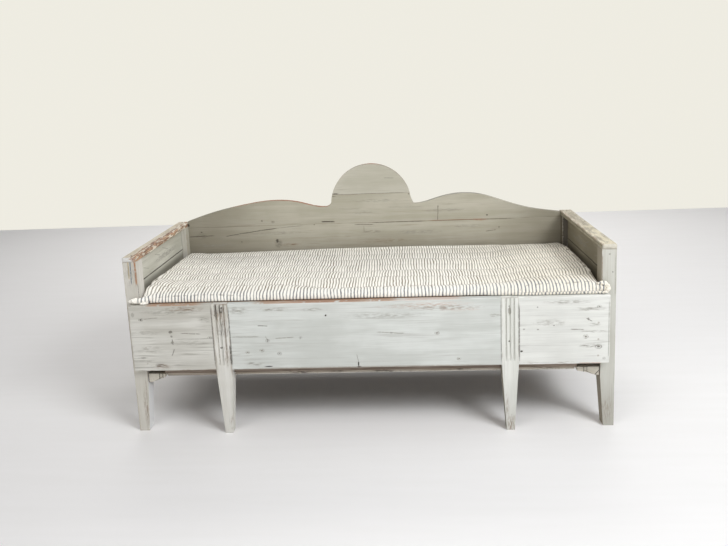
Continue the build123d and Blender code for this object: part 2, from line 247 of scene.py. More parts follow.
def addMarks(marker, marks, colour, height):
    # marks holds, for each colour, a list of (kind, strength, and what that kind takes)
    for name, group in marks.items():
        masks = [getattr(marker, kind)(*where) * strength for kind, strength, *where in group]
        mask = reduce(Wire.most, masks) * marker.facing
        colour = mask.blend(colour, markColours[name])
        if name in ("dark", "soot"):
            height = height - mask * 1.5     # cracks and holes go into the wood
    return colour, height


greyPaint = {
    "paint": tone(217, 220, 217),
    "shade": tone(200, 203, 199),
    "rub": tone(146, 143, 135),
    "wood": tone(150, 124, 100),
    "grimeAndShade": tone(92, 84, 68),
    "rubbed": 0.5,         # how much of the streaked wear shows
    "wearFrom": 0.54,      # lower for more streaks
    "wearEdge": 0.14,      # higher for softer ones
    "arris": 2.6,          # how far wear reaches in from an arris, in mm
    "arrisWear": 0.5,
    "relief": 0.5 * mm,
    "shadeBelow": None,    # painted shade and grime low down: (height where it starts, height where it is full, share)
    "shadeEnds": None,     # painted shade at both ends: (x of the middle, where it starts and is full, share)
    "outside": None,       # the real paint of an end board's outer face, where its inner face carries painted shade
    "turnOut": (0.853, 0.857),     # between an end board's two faces
    "inner": None,         # painted light and shade on a side face: (its direction on x, colour, share, height where it stops)
    "innerStop": 0.03,
    "fade": None,          # (x where wear is least, x where it is most, least, most)
    "worn": (),            # stretches of worn upper edge: (from x, to x, colour, strength)
    "wornStop": 0.02,
}


def paintedWood(node, look, grain, seed, marks, face):
    # worn paint on a board whose grain runs along an axis
    look = {**greyPaint, **look}
    low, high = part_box(node)
    material, shader, place = newMaterial(node + "_paint")
    broad = place.noise(stretched(grain, 30, 2.4), seed, detail=4, distortion=0.5)
    hair = place.noise(stretched(grain, 240, 8), seed + 11, detail=4, roughness=0.65)
    vein = place.noise(stretched(grain, 105, 4.2), seed + 23, detail=4, distortion=0.7)
    cloud = place.noise((5, 5, 5), seed + 31, detail=3)
    x, y, z = place.axes()

    colour = (broad * 0.5 + cloud * 0.5).rise(0.38, 0.62).blend(look["shade"], look["paint"])
    colour = (hair.rise(0.35, 0.75) * 0.13).blend(colour, look["rub"])
    rubbed = (vein * 0.62 + hair * 0.38).rise(look["wearFrom"], look["wearFrom"] + look["wearEdge"])
    rubbed = rubbed * (cloud.rise(0.42, 0.62) * 0.8 + 0.2) * look["rubbed"]
    if look["fade"]:
        start, end, least, most = look["fade"]
        rubbed = rubbed * (x.rise(start, end) * (most - least) + least)
    colour = rubbed.blend(colour, look["rub"])

    fromArris = arrisDistance(place, low, high)
    patches = place.noise((14, 14, 14), seed + 41, detail=4)
    reach = patches.rise(0.40, 0.62) * (hair * 1.4 + 0.3) * look["arris"] * mm
    worn = (reach - fromArris).rise(-0.4 * mm, 0.4 * mm) * look["arrisWear"]
    bare = (hair * 0.5 + vein * 0.5).rise(0.3, 0.7).blend(look["wood"], look["rub"])
    colour = worn.blend(colour, bare)

    # painted shade: darker low down and towards both ends, where shade falls
    if look["shadeBelow"]:
        top, bottom, share = look["shadeBelow"]
        colour = (z.rise(top, bottom) * share).blend(colour, look["grimeAndShade"])
    if look["shadeEnds"]:
        middle, start, full, share = look["shadeEnds"]
        colour = (abs(x - middle).rise(start, full) * share).blend(colour, look["grimeAndShade"])
    # painted light and shade: a side face is paler where it turns to the light and darker where it turns
    # from it
    if look["inner"]:
        way, paintedSideTone, share, below = look["inner"]
        turned = (place.normal()[0] * way).rise(0.4, 0.8)
        colour = (turned * z.rise(below, below - look["innerStop"]) * share).blend(colour, paintedSideTone)
    # the outer face keeps the real paint, without the painted shade of the inner face
    if look["outside"]:
        outer = (broad * 0.5 + cloud * 0.5).rise(0.38, 0.62).blend(greyPaint["shade"], look["outside"])
        outer = (rubbed * 1.4).blend(outer, look["rub"])
        colour = abs(x).rise(*look["turnOut"]).blend(colour, outer)
    height = broad * 0.5 + hair * 0.28 + vein * 0.22 - rubbed * 0.3 - worn * 0.4
    if marks:
        colour, height = addMarks(Marks(place, face, grain, seed), marks, colour, height)
    if look["worn"]:
        # worn along an upper edge, straight or shaped, wherever the skin turns upwards
        edge = place.normal()[2].rise(0.12, 0.45)
        chips = place.noise((38, 38, 38), seed + 51, detail=4)
        stop = look["wornStop"]
        for start, end, colourName, strength in look["worn"]:
            stretch = x.rise(start - stop, start + 2 * stop) * x.rise(end + stop, end - 2 * stop)
            mask = edge * stretch * chips.rise(0.31, 0.44) * strength
            colour = mask.blend(colour, markColours[colourName])
    connect(shader, colour, 0.5 + hair * 0.16 + rubbed * 0.2, height, look["relief"])
    return material


def bareWood(name, pale, dark, grain, seed):
    # unpainted pine, darkened by age
    material, shader, place = newMaterial(name)
    ring = place.noise(stretched(grain, 26, 1.3), seed, detail=2, distortion=1.2)
    hair = place.noise(stretched(grain, 210, 7), seed + 9, detail=4, roughness=0.65)
    bands = (ring * 9).fraction().rise(0.1, 0.95)
    colour = (bands * 0.6 + hair * 0.4).blend(dark, pale)
    undersideShade = place.normal()[2].rise(-0.3, -0.7)
    colour = (undersideShade * 0.9).blend(colour, tone(48, 38, 30))     # painted shade: the undersides are nearly black
    connect(shader, colour, 0.6 + hair * 0.2, bands * 0.3 + hair * 0.7, 0.5 * mm, 0.3)
    return material


def ironSkin(name, skin, spots):
    material, shader, place = newMaterial(name)
    rust = place.noise((900, 900, 900), 4, detail=3)
    connect(shader, rust.rise(0.35, 0.7).blend(skin, spots), 0.5 + rust * 0.4, rust, 0.2 * mm)
    return material


def dress(node, material, ease):
    # gives a node its finish and eases its arrises by so many mm, which leaves its own mesh as it is
    piece = nodes[node]
    piece.material_slots[0].material = material
    for polygon in piece.data.polygons:
        polygon.use_smooth = True
    if not ease:
        return
    weld = piece.modifiers.new("weld", "WELD")
    weld.merge_threshold = 0.02 * mm
    bevel = piece.modifiers.new("ease", "BEVEL")
    bevel.width = ease * mm
    bevel.segments = 2
    bevel.limit_method = "ANGLE"
    bevel.angle_limit = math.radians(35)
    piece.modifiers.new("normals", "WEIGHTED_NORMAL")


def paint(node, look, grain, seed, marks, ease, face="xz"):
    dress(node, paintedWood(node, look, grain, seed, marks, face), ease)


frontLook = {
    "drawer_front_left": {
        "paint": tone(214, 213, 207), "shade": tone(190, 188, 180), "rubbed": 0.6, "wearFrom": 0.5,
        "arris": 3.4, "arrisWear": 0.6, "worn": ((-0.80, -0.59, "tan", 0.85),),
    },
    "drawer_front_centre": {
        "rubbed": 0.6, "wearFrom": 0.51, "fade": (0.35, -0.5, 0.4, 1.1), "arris": 2.0, "arrisWear": 0.4,
        "worn": ((-0.40, 0.12, "tan", 0.8), (-0.26, -0.02, "rust", 0.35), (0.12, 0.34, "pink", 0.7)),
    },
    "drawer_front_right": {
        "paint": tone(227, 228, 224), "shade": tone(214, 215, 211), "rubbed": 0.45,
        "arris": 1.8, "arrisWear": 0.35,
    },
}

frontMarks = {
    "drawer_front_left": {
        "soot": [
            ("knot", 0.9, -814, 443, 9, 6), ("spot", 0.65, -709, 395, 7, 6),
            ("spot", 0.5, -707, 378, 4, 4), ("crack", 0.8, (-706, 368), (-704, 345), 2.2),
            ("crack", 0.6, (-700, 332), (-713, 302), 2.6), ("streaks", 0.9, -764, 267, 34, 9),
            ("knot", 0.7, -818, 298, 9, 4), ("knot", 0.7, -566, 370, 9, 6),
            ("line", 0.8, (-554.5, 498), (-554.5, 246), 2.6),
        ],
        "grey": [
            ("crack", 0.9, (-806, 445), (-749, 449), 1.8), ("spot", 0.8, -706, 355, 6, 5),
            ("crack", 1.0, (-676, 388), (-596, 385), 2.2),
            ("crack", 0.5, (-700, 366), (-560, 368), 2.0),
            ("crack", 0.6, (-838, 286), (-786, 285), 2.2),
            ("crack", 0.5, (-842, 297), (-800, 299), 2.2), ("streaks", 0.7, -700, 470, 130, 16),
            ("streaks", 0.5, -790, 330, 60, 18), ("streaks", 0.5, -800, 394, 70, 12),
            ("streaks", 0.4, -640, 352, 90, 14), ("spot", 0.5, -842, 462, 6, 9),
            ("streaks", 0.8, -580, 440, 30, 14),
        ],
        "brown": [("streaks", 0.6, -752, 264, 44, 12), ("streaks", 0.75, -650, 480, 80, 14)],
    },
    "drawer_front_centre": {
        "dark": [
            ("spot", 1.0, -143, 445, 3.4, 3.6), ("spot", 0.95, -359, 257, 14, 2.0),
            ("spot", 0.95, -34, 262, 2.4, 9), ("spot", 0.8, -31, 251, 8, 2.4),
        ],
        "grey": [
            ("crack", 1.0, (-492, 371), (-383, 370), 1.8),
            ("crack", 1.0, (-332, 362), (-258, 366), 1.9), ("crack", 1.0, (30, 378), (140, 373), 2.0),
            ("crack", 0.8, (-366, 372), (-352, 352), 2), ("knot", 1.0, -380, 318, 9, 7),
            ("knot", 1.0, -432, 312, 8, 6), ("knot", 1.0, 248, 371, 9, 7),
            ("knot", 1.0, 323, 274, 8, 6), ("streaks", 0.7, -410, 268, 40, 12),
            ("streaks", 0.8, -330, 470, 60, 9), ("streaks", 0.7, -190, 468, 60, 8),
            ("streaks", 0.8, -455, 470, 40, 18), ("streaks", 0.8, 450, 432, 26, 8),
            ("streaks", 0.5, 60, 440, 160, 14),
        ],
        "soot": [
            ("knot", 0.5, 86, 375, 6, 4), ("crack", 0.7, (-392, 411), (-352, 409), 2.8),
            ("knot", 0.7, -357, 354, 9, 7), ("knot", 0.6, -317, 305, 9, 7),
            ("knot", 0.5, -237, 363, 6, 6), ("crack", 0.6, (-34, 268), (-38, 300), 1.4),
            ("streaks", 0.5, 205, 466, 16, 5), ("line", 0.85, (-491.5, 498), (-491.5, 246), 2.4),
            ("line", 0.7, (471, 498), (471, 246), 2.0),
        ],
        "pink": [("streaks", 0.6, 250, 478, 150, 11), ("streaks", 0.5, 330, 456, 90, 9)],
        "tan": [("streaks", 0.45, 180, 472, 160, 12)],
        "brown": [
            ("streaks", 0.55, 285, 463, 150, 12), ("line", 0.5, (-480, 250.5), (460, 250.5), 2.2),
        ],
    },
    "drawer_front_right": {
        "soot": [
            ("knot", 0.7, 807, 455, 9, 6), ("spot", 0.6, 770, 411, 4, 5),
            ("knot", 0.8, 806, 309, 13, 8), ("knot", 0.5, 825, 266, 6, 5),
            ("spot", 0.5, 597, 458, 3, 3), ("spot", 0.7, 653, 390, 2.4, 2.4),
            ("line", 0.9, (534.5, 480), (534.5, 246), 2.2),
        ],
        "grey": [
            ("streaks", 0.9, 775, 448, 60, 9), ("crack", 1.0, (762, 415), (784, 401), 2.2),
            ("streaks", 0.8, 790, 390, 26, 8), ("crack", 1.0, (708, 374), (758, 373), 2.4),
            ("streaks", 0.7, 790, 366, 60, 6), ("knot", 1.0, 762, 347, 10, 8),
            ("streaks", 0.9, 780, 314, 50, 10), ("spot", 0.8, 598, 376, 4, 3),
            ("spot", 0.7, 550, 378, 4, 3), ("streaks", 0.6, 640, 400, 70, 16),
            ("line", 0.7, (840, 490), (840, 252), 2.0), ("streaks", 0.7, 700, 474, 90, 10),
        ],
        "dark": [("spot", 1.0, 541, 297, 4.6, 3.8)],
        "pink": [("line", 0.8, (735, 250), (820, 250), 3.0)],
        "brown": [("streaks", 0.5, 690, 252, 40, 6), ("streaks", 0.5, 575, 254, 30, 7)],
    },
}

pilasterLook = {
    "pilaster_leg_left": {
        "paint": tone(222, 221, 216), "shade": tone(204, 202, 194),
        "rubbed": 1.0, "arris": 4, "arrisWear": 0.6,
    },
    "pilaster_leg_right": {
        "paint": tone(230, 231, 226), "shade": tone(217, 218, 212),
        "rubbed": 0.5, "arris": 3, "arrisWear": 0.4,
        # painted shade on the side face turned from the light, and painted shade and grime low down
        "shadeBelow": (0.25, 0.06, 0.2), "inner": (-1, tone(128, 118, 102), 0.75, 0.26),
    },
}

# the first lines on each leg are its three flutes, darkened with painted shade and grime
pilasterMarks = {
    "pilaster_leg_left": {
        "brown": [
            ("line", 0.4, (-537, 520), (-537, 258), 4.2), ("line", 0.6, (-509, 520), (-509, 258), 4.2),
            ("streaks", 0.8, -524, 455, 30, 44), ("streaks", 0.6, -508, 300, 14, 50),
            ("streaks", 0.7, -505, 40, 14, 40),
        ],
        "grey": [("line", 0.35, (-523, 520), (-523, 258), 4.2)],
        "dark": [
            ("spot", 0.9, -515, 481, 3.4), ("spot", 0.8, -517, 466, 3.4), ("spot", 0.8, -527, 331, 4),
            ("streaks", 0.8, -520, 476, 24, 20), ("line", 0.95, (-495.5, 345), (-495.5, 262), 3.4),
        ],
        "soot": [("streaks", 0.6, -515, 400, 30, 40), ("spot", 0.7, -538, 470, 5, 30)],
        # a painted highlight on the fillet beside the first flute
        "paintedHighlight": [("spot", 0.5, -540, 330, 3, 60)],
    },
    "pilaster_leg_right": {
        "grey": [
            ("line", 0.3, (488.5, 520), (488.5, 258), 4.2),
            ("line", 0.1, (502.5, 520), (502.5, 258), 4.2),
            ("line", 0.3, (516.5, 520), (516.5, 258), 4.2), ("spot", 0.8, 501, 445, 5, 14),
        ],
        "dark": [("spot", 0.75, 500, 463, 2.8), ("spot", 1.0, 499, 335, 2.8)],
        "soot": [("line", 0.6, (531, 490), (531, 270), 2.0)],
        "brown": [("streaks", 0.8, 505, 20, 22, 45), ("streaks", 0.5, 490, 90, 10, 60)],
    },
}


def dressFront():
    for number, (node, change) in enumerate(frontLook.items()):
        look = {"relief": 0.4 * mm, **change}
        paint(node, look, "x", 40 + number, frontMarks[node], 2.2)
    for number, (node, look) in enumerate(pilasterLook.items()):
        paint(node, look, "z", 50 + number, pilasterMarks[node], 1.2)


backMarks = {
    "soot": [
        ("crack", 1.0, (-828, 604), (-698, 606), 2.0), ("crack", 0.9, (-655, 602), (-572, 613), 2.0),
        ("crack", 1.0, (-592, 611), (-408, 634), 2.2), ("crack", 1.0, (-222, 655), (-156, 654), 4.0),
        ("crack", 0.8, (-78, 638), (15, 636), 2.0), ("line", 0.8, (-10, 643.5), (250, 643.5), 2.4),
        ("line", 0.7, (240, 643.5), (640, 643.5), 2.0), ("spot", 0.7, -761, 623, 4),
        ("spot", 0.5, -484, 667, 4), ("knot", 0.6, -435, 661, 8, 6), ("spot", 0.5, -252, 643, 3),
        ("streaks", 0.9, -416, 562, 20, 22), ("spot", 0.6, -581, 574, 3),
        ("crack", 0.8, (295, 716), (292, 640), 1.7), ("spot", 0.8, 506, 662, 4, 3),
        ("spot", 0.5, 557, 607, 3), ("crack", 0.7, (498, 592), (545, 596), 2.2),
        ("spot", 0.6, 169, 767, 3.4), ("spot", 0.8, -152, 777, 14, 2.6),
        ("spot", 0.5, -160, 766, 12, 2), ("streaks", 0.5, -762, 606, 30, 18),
        ("crack", 0.4, (-30, 600), (-32, 632), 2), ("streaks", 0.4, 0, 604, 60, 10),
        ("line", 0.6, (-172, 773.5), (180, 773.5), 1.6),
    ],
    "grey": [
        ("crack", 0.9, (-430, 632), (-295, 640), 2.0), ("crack", 0.8, (-145, 710), (-40, 707), 1.8),
        ("crack", 0.6, (60, 712), (240, 706), 1.8), ("crack", 0.9, (62, 841), (108, 839), 2.4),
        ("streaks", 0.9, -700, 562, 120, 10), ("streaks", 0.8, 210, 596, 120, 12),
        ("streaks", 0.8, 420, 616, 100, 9), ("streaks", 0.8, -420, 610, 160, 9),
        ("streaks", 0.7, 330, 690, 120, 9), ("streaks", 0.7, 20, 742, 130, 9),
        ("streaks", 0.6, -40, 690, 90, 8),
    ],
    "rust": [("streaks", 1.0, 470, 643, 36, 7), ("line", 0.6, (240, 645), (510, 645), 2.2)],
    "dark": [
        ("spot", 0.75, -421, 574, 5, 9), ("spot", 0.5, 295, 706, 2, 5), ("spot", 0.95, -817, 657, 4, 7),
    ],
    "brown": [("streaks", 0.8, -360, 556, 50, 7), ("streaks", 0.5, 60, 560, 140, 12)],
}

backLook = {
    "paint": tone(185, 181, 167), "shade": tone(171, 167, 151), "rub": tone(134, 126, 108),
    "wood": tone(128, 104, 80), "rubbed": 0.5, "wearFrom": 0.52, "arrisWear": 0.3, "relief": 0.6 * mm,
    # painted shade towards both ends of the back
    "shadeEnds": (0.05, 0.40, 0.80, 0.45),
}

wornWings = (
    (-0.2, 0.2, "brown", 0.6), (-0.62, -0.10, "rust", 0.95),
    (-0.03, 0.05, "rust", 1.0), (0.22, 0.5, "grey", 0.8),
)

# painted shade and grime: the back boards and rails darken low down behind and under the mattress; the
# crest's paler paint is painted light
backPieces = {
    "back_crest": {"worn": wornWings, "paint": tone(190, 187, 175), "shade": tone(178, 175, 161)},
    "back_board_upper": {"worn": wornWings, "shadeBelow": (0.70, 0.62, 0.10)},
    "back_board_lower": {"shadeBelow": (0.66, 0.53, 0.34)},
    "box_back_board": {"shadeBelow": (0.48, 0.30, 0.3)},
    "rear_rail": {"shadeBelow": (0.33, 0.16, 0.4)},
}


def dressBack():
    for number, (node, change) in enumerate(backPieces.items()):
        marks = backMarks if node.startswith("back") else None
        paint(node, {**backLook, **change}, "x", 60 + number, marks, 1.6)


postLook = {
    "paint": tone(214, 212, 204), "shade": tone(198, 195, 186), "rub": tone(156, 148, 132),
    "arris": 3, "rubbed": 0.6, "arrisWear": 0.5,
}

# the inner tints are painted shade on side faces turned from the light, and painted light on the left
# front post's lower inner face; the right front post also darkens low down with painted shade and grime
postLooks = {
    "front_post_left": {"paint": tone(213, 210, 204), "inner": (1, tone(228, 230, 234), 0.7, 0.23)},
    "front_post_right": {"paint": tone(200, 200, 193), "shade": tone(188, 187, 178), "rubbed": 0.35,
                         "arrisWear": 0.25, "shadeBelow": (0.25, 0.06, 0.22),
                         "inner": (-1, tone(132, 120, 98), 0.75, 0.68)},
    "rear_post_left": {"inner": (1, tone(158, 152, 132), 0.5, 0.68)},
    "rear_post_right": {"inner": (-1, tone(84, 74, 56), 0.9, 0.68)},
}

postMarks = {
    "front_post_left": {
        "ochre": [("line", 0.8, (-849, 662), (-851, 585), 3.2)],
        "blue": [("line", 0.8, (-841, 670), (-844, 565), 3.6)],
        "amber": [("line", 1.0, (-825, 680), (-826, 560), 5.0)],
        "soot": [("line", 0.7, (-821, 575), (-821, 505), 2.0)],
        "grey": [("streaks", 0.5, -845, 600, 30, 60)],
        "brown": [("streaks", 0.6, -835, 90, 14, 90), ("line", 0.5, (-829, 215), (-833, 20), 2.0)],
    },
    "front_post_right": {
        "grey": [("spot", 0.8, 846, 634, 4, 3), ("line", 0.6, (866, 640), (866, 480), 2.0)],
        "brown": [("line", 0.6, (822, 640), (822, 505), 2.6), ("streaks", 0.5, 845, 60, 24, 60)],
        "soot": [("spot", 0.6, 857, 570, 3, 3)],
    },
    "rear_post_right": {
        # painted shade on the rear post's front face, which stands in shade beside the arm
        "soot": [("spot", 0.85, 834, 590, 13, 120)],
    },
}

armLook = {"rubbed": 0.6, "arrisWear": 0.2, "outside": tone(212, 212, 205)}

# the right arm's dark tones are painted shade, since its inner faces turn from the light; armLook's
# outside keeps its outer face grey
armLooks = {
    "left": {"paint": tone(208, 207, 197), "shade": tone(192, 191, 179), "rub": tone(150, 148, 134)},
    "right": {"paint": tone(150, 143, 124), "shade": tone(130, 123, 104), "rub": tone(106, 99, 82)},
}

runnerLook = {
    "paint": tone(210, 204, 192), "shade": tone(192, 186, 172), "wood": tone(70, 60, 50),
    "rubbed": 0.6, "arris": 2, "arrisWear": 0.9,
}

runnerMarks = {
    "left": {
        "dark": [
            ("line", 0.9, (-818.5, 236), (-818.5, 186), 2.4),
            ("line", 0.95, (-776.5, 240), (-776.5, 194), 2.2),
            ("line", 0.8, (-764, 236), (-764, 200), 2.4),
        ],
        "soot": [
            ("line", 0.6, (-822, 191), (-796, 191), 2.0), ("line", 0.6, (-800, 192), (-760, 214), 2.2),
        ],
    },
    "right": {
        "dark": [
            ("crack", 0.9, (801, 190), (824, 217), 2.2, 2), ("line", 0.8, (764, 236), (764, 200), 2.6),
            ("line", 0.8, (818.5, 236), (818.5, 186), 2.2),
        ],
        "soot": [
            ("line", 0.6, (800, 192), (760, 214), 2.2), ("line", 0.5, (822, 191), (796, 191), 2.0),
        ],
    },
}

armMarks = {
    "dark": [("line", 1.0, (-300, 556), (320, 556), 3.4)],
    "grey": [
        ("crack", 0.8, (-60, 620), (0, 600), 2, 3), ("crack", 0.8, (20, 626), (90, 604), 2, 3),
        ("crack", 0.7, (-180, 600), (-120, 580), 2, 3), ("streaks", 0.8, 60, 590, 160, 16),
    ],
    "soot": [
        ("spot", 0.7, -215, 592, 3), ("spot", 0.5, -190, 603, 3),
        ("line", 0.5, (-237, 640), (-237, 480), 4), ("line", 0.5, (257, 640), (257, 480), 5),
    ],
}


def dressFrame():
    for number, side in enumerate(("left", "right")):
        seed = 70 + 10 * number
        for name in ("front_post", "rear_post"):
            node = f"{name}_{side}"
            look = {**postLook, **postLooks[node]}
            paint(node, look, "z", seed + len(name), postMarks.get(node), 1.6)
        for k, name in enumerate(("arm_panel", "end_board", "side_rail")):
            look = {**armLook, **armLooks[side]}
            if name == "end_board":
                # painted shade and grime where the end board meets the mattress
                look["shadeBelow"] = (0.556, 0.526, 0.6)
            paint(f"{name}_{side}", look, "y", seed + k, armMarks, 1.4, face="yz")
        for name in ("runner", "runner_strip"):
            paint(f"{name}_{side}", runnerLook, "y", seed + 5, runnerMarks[side], 1.0)


# what is under and inside
railLooks = {
    "drawer_ledger": {"paint": tone(148, 134, 122), "shade": tone(118, 104, 92), "rub": tone(70, 60, 50)},
    "drawer_cross_rail": {
        "paint": tone(192, 182, 170), "shade": tone(160, 148, 134), "rub": tone(92, 80, 68),
    },
}

railMarks = {
    # a painted highlight along the cross rail's lower edge
    "paintedHighlight": [("line", 0.8, (-700, 207), (1100, 207), 2.4)],
    "dark": [
        ("streaks", 0.9, -260, 214, 60, 12), ("streaks", 0.9, -120, 216, 40, 10),
        ("streaks", 0.8, 640, 216, 60, 10),
    ],
    "soot": [("streaks", 0.9, 60, 214, 80, 10), ("streaks", 0.8, 330, 214, 60, 8)],
}

# bare pine, by the axis that its grain runs along
grains = {
    "x": ("slat_bearer", "slat_ledge", "drawer_rear_batten", "lid_ledge_rear", "seat_board_front",
          "seat_board_rear", "seat_front_rail", "frame_pegs"),
    "y": ("bed_slats", "drawer_bottom_boards", "seat_battens", "drawer_side_left", "drawer_side_right",
          "drawer_skid_left", "drawer_skid_right", "lid_cleat_left", "lid_cleat_right"),
    "z": ("crest_dowels", "drawer_stop_left", "drawer_stop_right", "drawer_corner_block_left",
          "drawer_corner_block_right"),
}


def dressInside():
    for number, (node, look) in enumerate(railLooks.items()):
        paint(node, {"rubbed": 0.9, **look}, "x", 91 + number, railMarks, 1.0)
    for grain, names in grains.items():
        pine = bareWood("old_pine_" + grain, tone(150, 116, 82), tone(112, 84, 58), grain, 95)
        for node in names:
            dress(node, pine, 0 if node in ("frame_pegs", "crest_dowels") else 1.0)
    iron = ironSkin("wrought_iron", tone(34, 30, 28), tone(86, 58, 42))
    dress("cap_nails", iron, 0)
    dress("seat_nails", iron, 0)
    painted = ironSkin("painted_nail_heads", tone(206, 206, 200), tone(160, 150, 138))
    dress("drawer_nails", painted, 0)


dressFront()
dressBack()
dressFrame()
dressInside()
print("wood dressed")


def roundedSection(low, high, radii, arcSteps, sideSteps):
    # points round a rectangle with four round corners of their own radii, from the corner at low
    arcs = []
    for corner, radius in enumerate(radii):
        middle = ((high[0] - radius if corner in (1, 2) else low[0] + radius),
                  (high[1] - radius if corner in (2, 3) else low[1] + radius))
        arc = []
        for step in range(arcSteps + 1):
            turn = math.pi + (corner + step / arcSteps) * math.pi / 2
            arc.append((middle[0] + radius * math.cos(turn), middle[1] + radius * math.sin(turn)))
        arcs.append(arc)
    points = []
    for arc, following in zip(arcs, arcs[1:] + arcs[:1]):
        points += arc
        for step in range(1, sideSteps + 1):
            share = step / (sideSteps + 1)
            points.append(tuple(a + (b - a) * share for a, b in zip(arc[-1], following[0])))
    return points


def loft(name, rings):
    # a closed skin over rings of points that all have the same number
    mesh = bpy.data.meshes.new(name)
    skin = bmesh.new()
    rows = [[skin.verts.new(point) for point in ring] for ring in rings]
    for row, following in zip(rows, rows[1:]):
        for index in range(len(row)):
            after = (index + 1) % len(row)
            skin.faces.new((row[index], row[after], following[after], following[index]))
    skin.faces.new(rows[0])
    skin.faces.new(reversed(rows[-1]))
    bmesh.ops.recalc_face_normals(skin, faces=skin.faces)
    skin.to_mesh(mesh)
    skin.free()
    return mesh


def newPiece(name, mesh, material, body, node):
    piece = bpy.data.objects.new(name, mesh)
    bpy.context.scene.collection.objects.link(piece)
    mesh.materials.append(material)
    for polygon in mesh.polygons:
        polygon.use_smooth = True
    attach(piece, body)
    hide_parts(node)
    return piece


def ease(value, low, high):
    # 0 below low, 1 above high, smooth between
    share = min(1.0, max(0.0, (value - low) / (high - low)))
    return share * share * (3 - 2 * share)


def noiseAt(point, waves, shift=(0, 0, 0)):
    # noise at a point, with its own number of waves on each axis
    return noise.noise(Vector([p * wave + s for p, wave, s in zip(point, waves, shift)]))


# the hand-worn rails on top of the arms
cap = {
    "step": 4 * mm,
    "endRound": 5 * mm,
    "arcSteps": 5,
    "sideSteps": 8,
    "swell": 0.4,                   # how much the rounding of the corners varies along a rail
    "swellWaves": 8,                # these and the next are in waves per metre
    "biteWaves": (90, 26, 90),
    "splinterWaves": (260, 60, 260),
    "dentWaves": (40, 14, 40),
    "splinter": 0.5,
    "biteMore": 0.25,               # higher for fewer whole stretches
    "biteFade": 1.2,                # how fast bites get shallower away from the arris
    "biteAcross": 0.6,              # how far they go sideways, as a share of their depth
    "dent": 0.5 * mm,
    "sound": 4 * mm,                # height above the underside that isn't worn
    # corner radii from the bottom outer one round to the top outer one, and how deep the bites go
    "left": {"radii": (1.5, 2.5, 5.0, 4.0), "chewed": 5.0 * mm, "reach": 20 * mm, "seed": 3.1,
             "paint": tone(224, 215, 196), "shade": tone(190, 178, 158), "bare": 36, "strength": 0.9,
             "end": tone(216, 217, 218)},
    "right": {"radii": (1.5, 2.0, 4.0, 3.5), "chewed": 1.8 * mm, "reach": 10 * mm, "seed": 8.4,
              "paint": tone(198, 190, 170), "shade": tone(144, 135, 116), "bare": 12, "strength": 0.55,
              "end": tone(200, 196, 185)},
}


def capPaint(side, low, high):
    # thick old cream paint, flaked off down to orange-brown wood along the inner arris
    wear = cap[side]
    seed = wear["seed"]
    material, shader, place = newMaterial(f"arm_cap_{side}_paint")
    x, y, z = place.axes()
    hair = place.noise((240, 16, 240), seed + 1, detail=4, roughness=0.7)
    broad = place.noise((60, 9, 60), seed + 2, detail=4)
    flake = place.noise((170, 30, 170), seed + 5, detail=5, roughness=0.7)
    islands = place.noise((110, 22, 110), seed + 9, detail=4, roughness=0.6)
    inner = high.x if side == "left" else low.x
    fromArris = abs(x - inner) + abs(z - high.z)
    colour = (broad * 0.6 + hair * 0.4).rise(0.35, 0.65).blend(wear["shade"], wear["paint"])
    beyond = (flake * 1.5 + broad * 1.3 - 0.75) * wear["bare"] * mm - fromArris
    kept = islands.rise(0.52, 0.57)     # where the paint still holds
    bare = beyond.rise(-0.6 * mm, 0.6 * mm) * (1 - kept * 0.9) * wear["strength"]
    wood = hair.rise(0.36, 0.64).blend(tone(88, 58, 42), tone(176, 124, 88))
    wood = (flake * 0.5 + hair * 0.5).rise(0.52, 0.62).blend(wood, tone(206, 178, 142))
    colour = bare.blend(colour, wood)
    shore = islands.rise(0.515, 0.54) * islands.rise(0.58, 0.55)
    rim = (beyond.rise(-2.6 * mm, -0.3 * mm) * (1 - bare)).most(shore)
    colour = (rim * 0.55).blend(colour, tone(234, 228, 212))
    colour = (flake.rise(0.64, 0.69) * 0.8).blend(colour, tone(94, 72, 52))
    split = hair.rise(0.66, 0.73) * 0.55
    colour = split.blend(colour, tone(66, 50, 40))
    if side == "right":
        # cream patches on the front half; on the side towards the seat, grey-olive painted shade, since
        # that side turns from the light, with a scribed line
        patches = place.noise((34, 15, 34), seed + 14, detail=4).rise(0.46, 0.56)
        patches = patches * y.rise(0.04, -0.03) * (1 - bare)
        colour = (patches * 0.6).blend(colour, tone(232, 224, 198))
        facing = x.rise(inner + 3 * mm, inner + 0.5 * mm)
        colour = (facing * 0.6).blend(colour, tone(128, 122, 100))
        scribed = abs(z - high.z + 8 * mm + (broad - 0.5) * 4 * mm).rise(1.5 * mm, 0.5 * mm) * facing
        colour = (scribed * 0.7).blend(colour, tone(62, 54, 40))
    end = y.rise(low.y + 6 * mm, low.y + 2 * mm) * (1 - bare)
    colour = (end * 0.8).blend(colour, wear["end"])
    height = (1 - bare) * 0.7 + hair * 0.5 + flake * 0.25 - split
    connect(shader, colour, 0.55 + hair * 0.2, height, 0.8 * mm)
    return material


